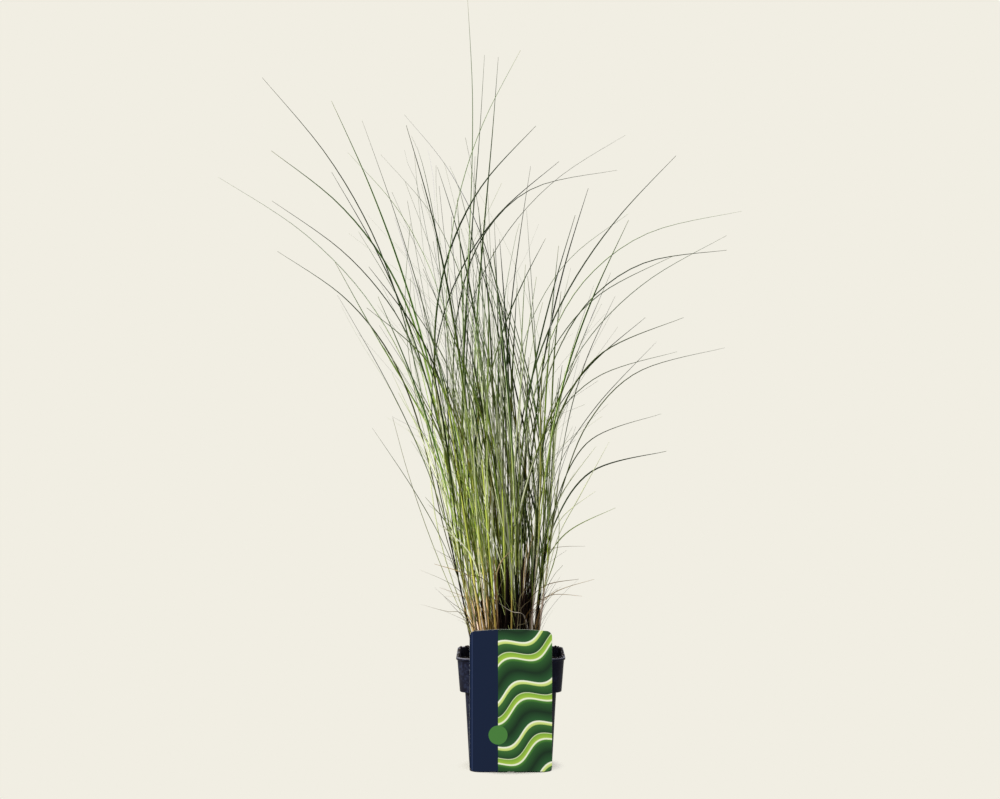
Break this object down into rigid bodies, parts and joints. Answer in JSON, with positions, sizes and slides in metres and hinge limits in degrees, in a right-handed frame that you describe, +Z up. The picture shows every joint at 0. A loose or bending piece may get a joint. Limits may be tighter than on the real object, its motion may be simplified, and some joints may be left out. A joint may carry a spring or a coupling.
{
  "type": "potted ornamental maiden grass",
  "caption": "Clump of narrow-leaved maiden grass growing in a square black nursery pot, with a picture card hooked over its lip; stands on the pot's flat base.",
  "frame": {"origin": "on the floor under the middle of the pot's flat base", "axes": "+Z up, along the clump; the label faces -Y; +X to the viewer's right when the label is seen from the front"},
  "size_m": [0.5306, 0.4741, 0.7869],
  "materials": {
    "pot_plastic": "satin",
    "potting_mix": "matte",
    "label_card": "satin",
    "green_leaf": "satin",
    "dry_leaf": "matte"
  },
  "bodies": {
    "root": {"dry_stem_01": "dry_leaf", "dry_stem_02": "dry_leaf", "dry_stem_03": "dry_leaf", "dry_stem_04": "dry_leaf", "dry_stem_05": "dry_leaf", "dry_stem_06": "dry_leaf", "label_card": "label_card", "leafy_stem_01": "green_leaf", "leafy_stem_02": "green_leaf", "leafy_stem_03": "green_leaf", "leafy_stem_04": "green_leaf", "leafy_stem_05": "green_leaf", "leafy_stem_06": "green_leaf", "leafy_stem_07": "green_leaf", "leafy_stem_08": "green_leaf", "leafy_stem_09": "green_leaf", "leafy_stem_10": "green_leaf", "leafy_stem_11": "green_leaf", "leafy_stem_12": "green_leaf", "leafy_stem_13": "green_leaf", "leafy_stem_14": "green_leaf", "leafy_stem_15": "green_leaf", "leafy_stem_16": "green_leaf", "leafy_stem_17": "green_leaf", "leafy_stem_18": "green_leaf", "leafy_stem_19": "green_leaf", "leafy_stem_20": "green_leaf", "leafy_stem_21": "green_leaf", "leafy_stem_22": "green_leaf", "leafy_stem_23": "green_leaf", "leafy_stem_24": "green_leaf", "leafy_stem_25": "green_leaf", "leafy_stem_26": "green_leaf", "leafy_stem_27": "green_leaf", "leafy_stem_28": "green_leaf", "leafy_stem_29": "green_leaf", "leafy_stem_30": "green_leaf", "leafy_stem_31": "green_leaf", "leafy_stem_32": "green_leaf", "leafy_stem_33": "green_leaf", "leafy_stem_34": "green_leaf", "leafy_stem_35": "green_leaf", "leafy_stem_36": "green_leaf", "leafy_stem_37": "green_leaf", "leafy_stem_38": "green_leaf", "leafy_stem_39": "green_leaf", "leafy_stem_40": "green_leaf", "leafy_stem_41": "green_leaf", "leafy_stem_42": "green_leaf", "leafy_stem_43": "green_leaf", "leafy_stem_44": "green_leaf", "leafy_stem_45": "green_leaf", "leafy_stem_46": "green_leaf", "pot": "pot_plastic", "potting_mix": "potting_mix"}
  },
  "joints": []
}
